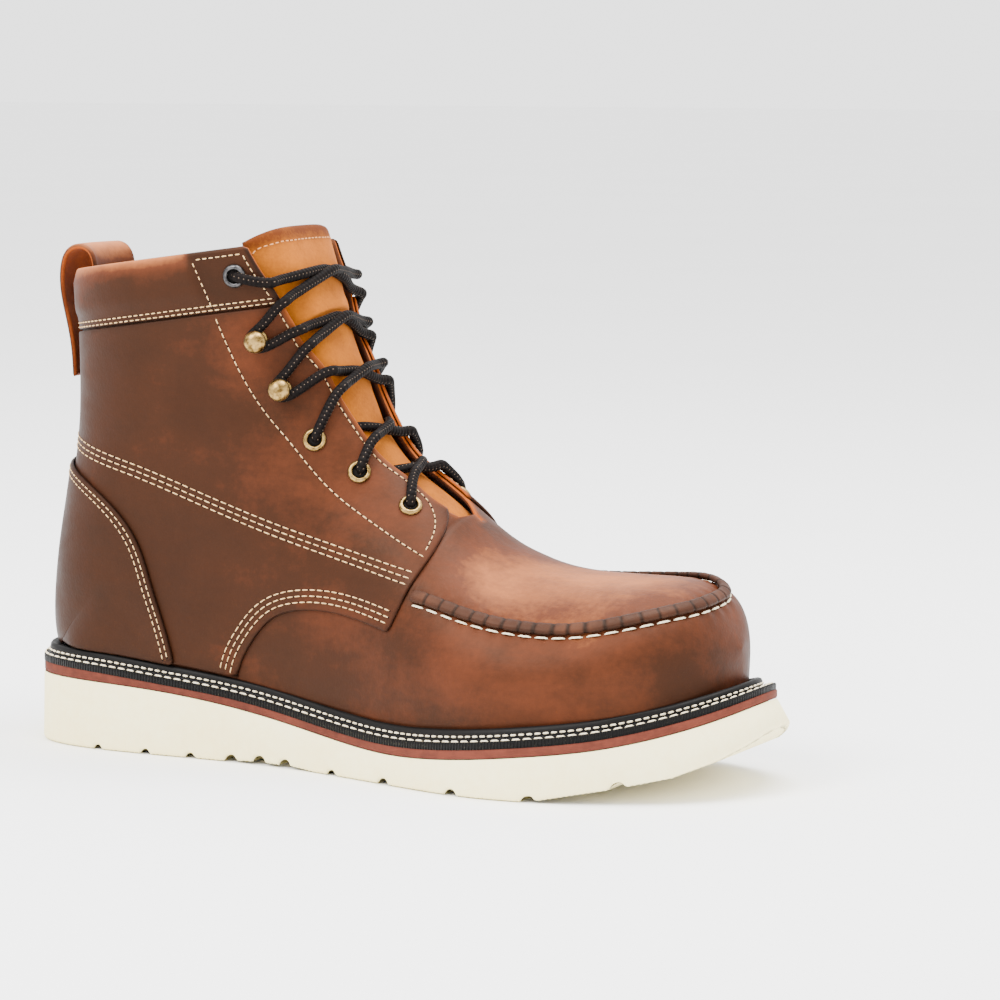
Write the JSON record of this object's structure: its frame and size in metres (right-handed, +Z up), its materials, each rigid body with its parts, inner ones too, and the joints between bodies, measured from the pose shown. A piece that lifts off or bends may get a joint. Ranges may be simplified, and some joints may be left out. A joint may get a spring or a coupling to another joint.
{
  "type": "moc toe work boot",
  "caption": "Right ankle-high leather work boot with a raised seam around the toe, storm welt and cream wedge sole",
  "frame": {"origin": "middle of the sole's box, on the floor", "axes": "+X to the toe, +Y to the inner side of the foot, +Z up"},
  "size_m": [0.309, 0.115, 0.2039],
  "materials": {
    "cream_rubber": "matte soft rubber",
    "rust_rubber": "matte rubber sheet",
    "black_welt": "satin",
    "footbed": "matte",
    "brown_leather": "oiled pull-up leather",
    "tan_nubuck": "matte nubuck",
    "antique_brass": "antiqued, satin",
    "dark_metal": "blackened, satin",
    "lace_cord": "round woven cord, dark with pale flecks"
  },
  "bodies": {
    "root": {"outsole": "cream_rubber", "midsole": "rust_rubber", "welt": "black_welt", "insole": "footbed", "upper": "brown_leather", "tongue": "tan_nubuck", "quarters": "brown_leather", "counter_outer": "brown_leather", "counter_inner": "brown_leather", "backstay": "brown_leather", "collar_band": "brown_leather", "moc_seam": "brown_leather", "pull_loop": "brown_leather", "eyelet_outer_1": "antique_brass", "eyelet_outer_2": "antique_brass", "eyelet_outer_3": "antique_brass", "hook_outer_4": "antique_brass", "hook_outer_5": "antique_brass", "eyelet_outer_6": "dark_metal", "eyelet_inner_1": "antique_brass", "eyelet_inner_2": "antique_brass", "eyelet_inner_3": "antique_brass", "hook_inner_4": "antique_brass", "hook_inner_5": "antique_brass", "eyelet_inner_6": "dark_metal", "lace_crossing_1": "lace_cord", "lace_crossing_2": "lace_cord", "lace_crossing_3": "lace_cord", "lace_crossing_4": "lace_cord", "lace_crossing_5": "lace_cord"}
  },
  "joints": []
}
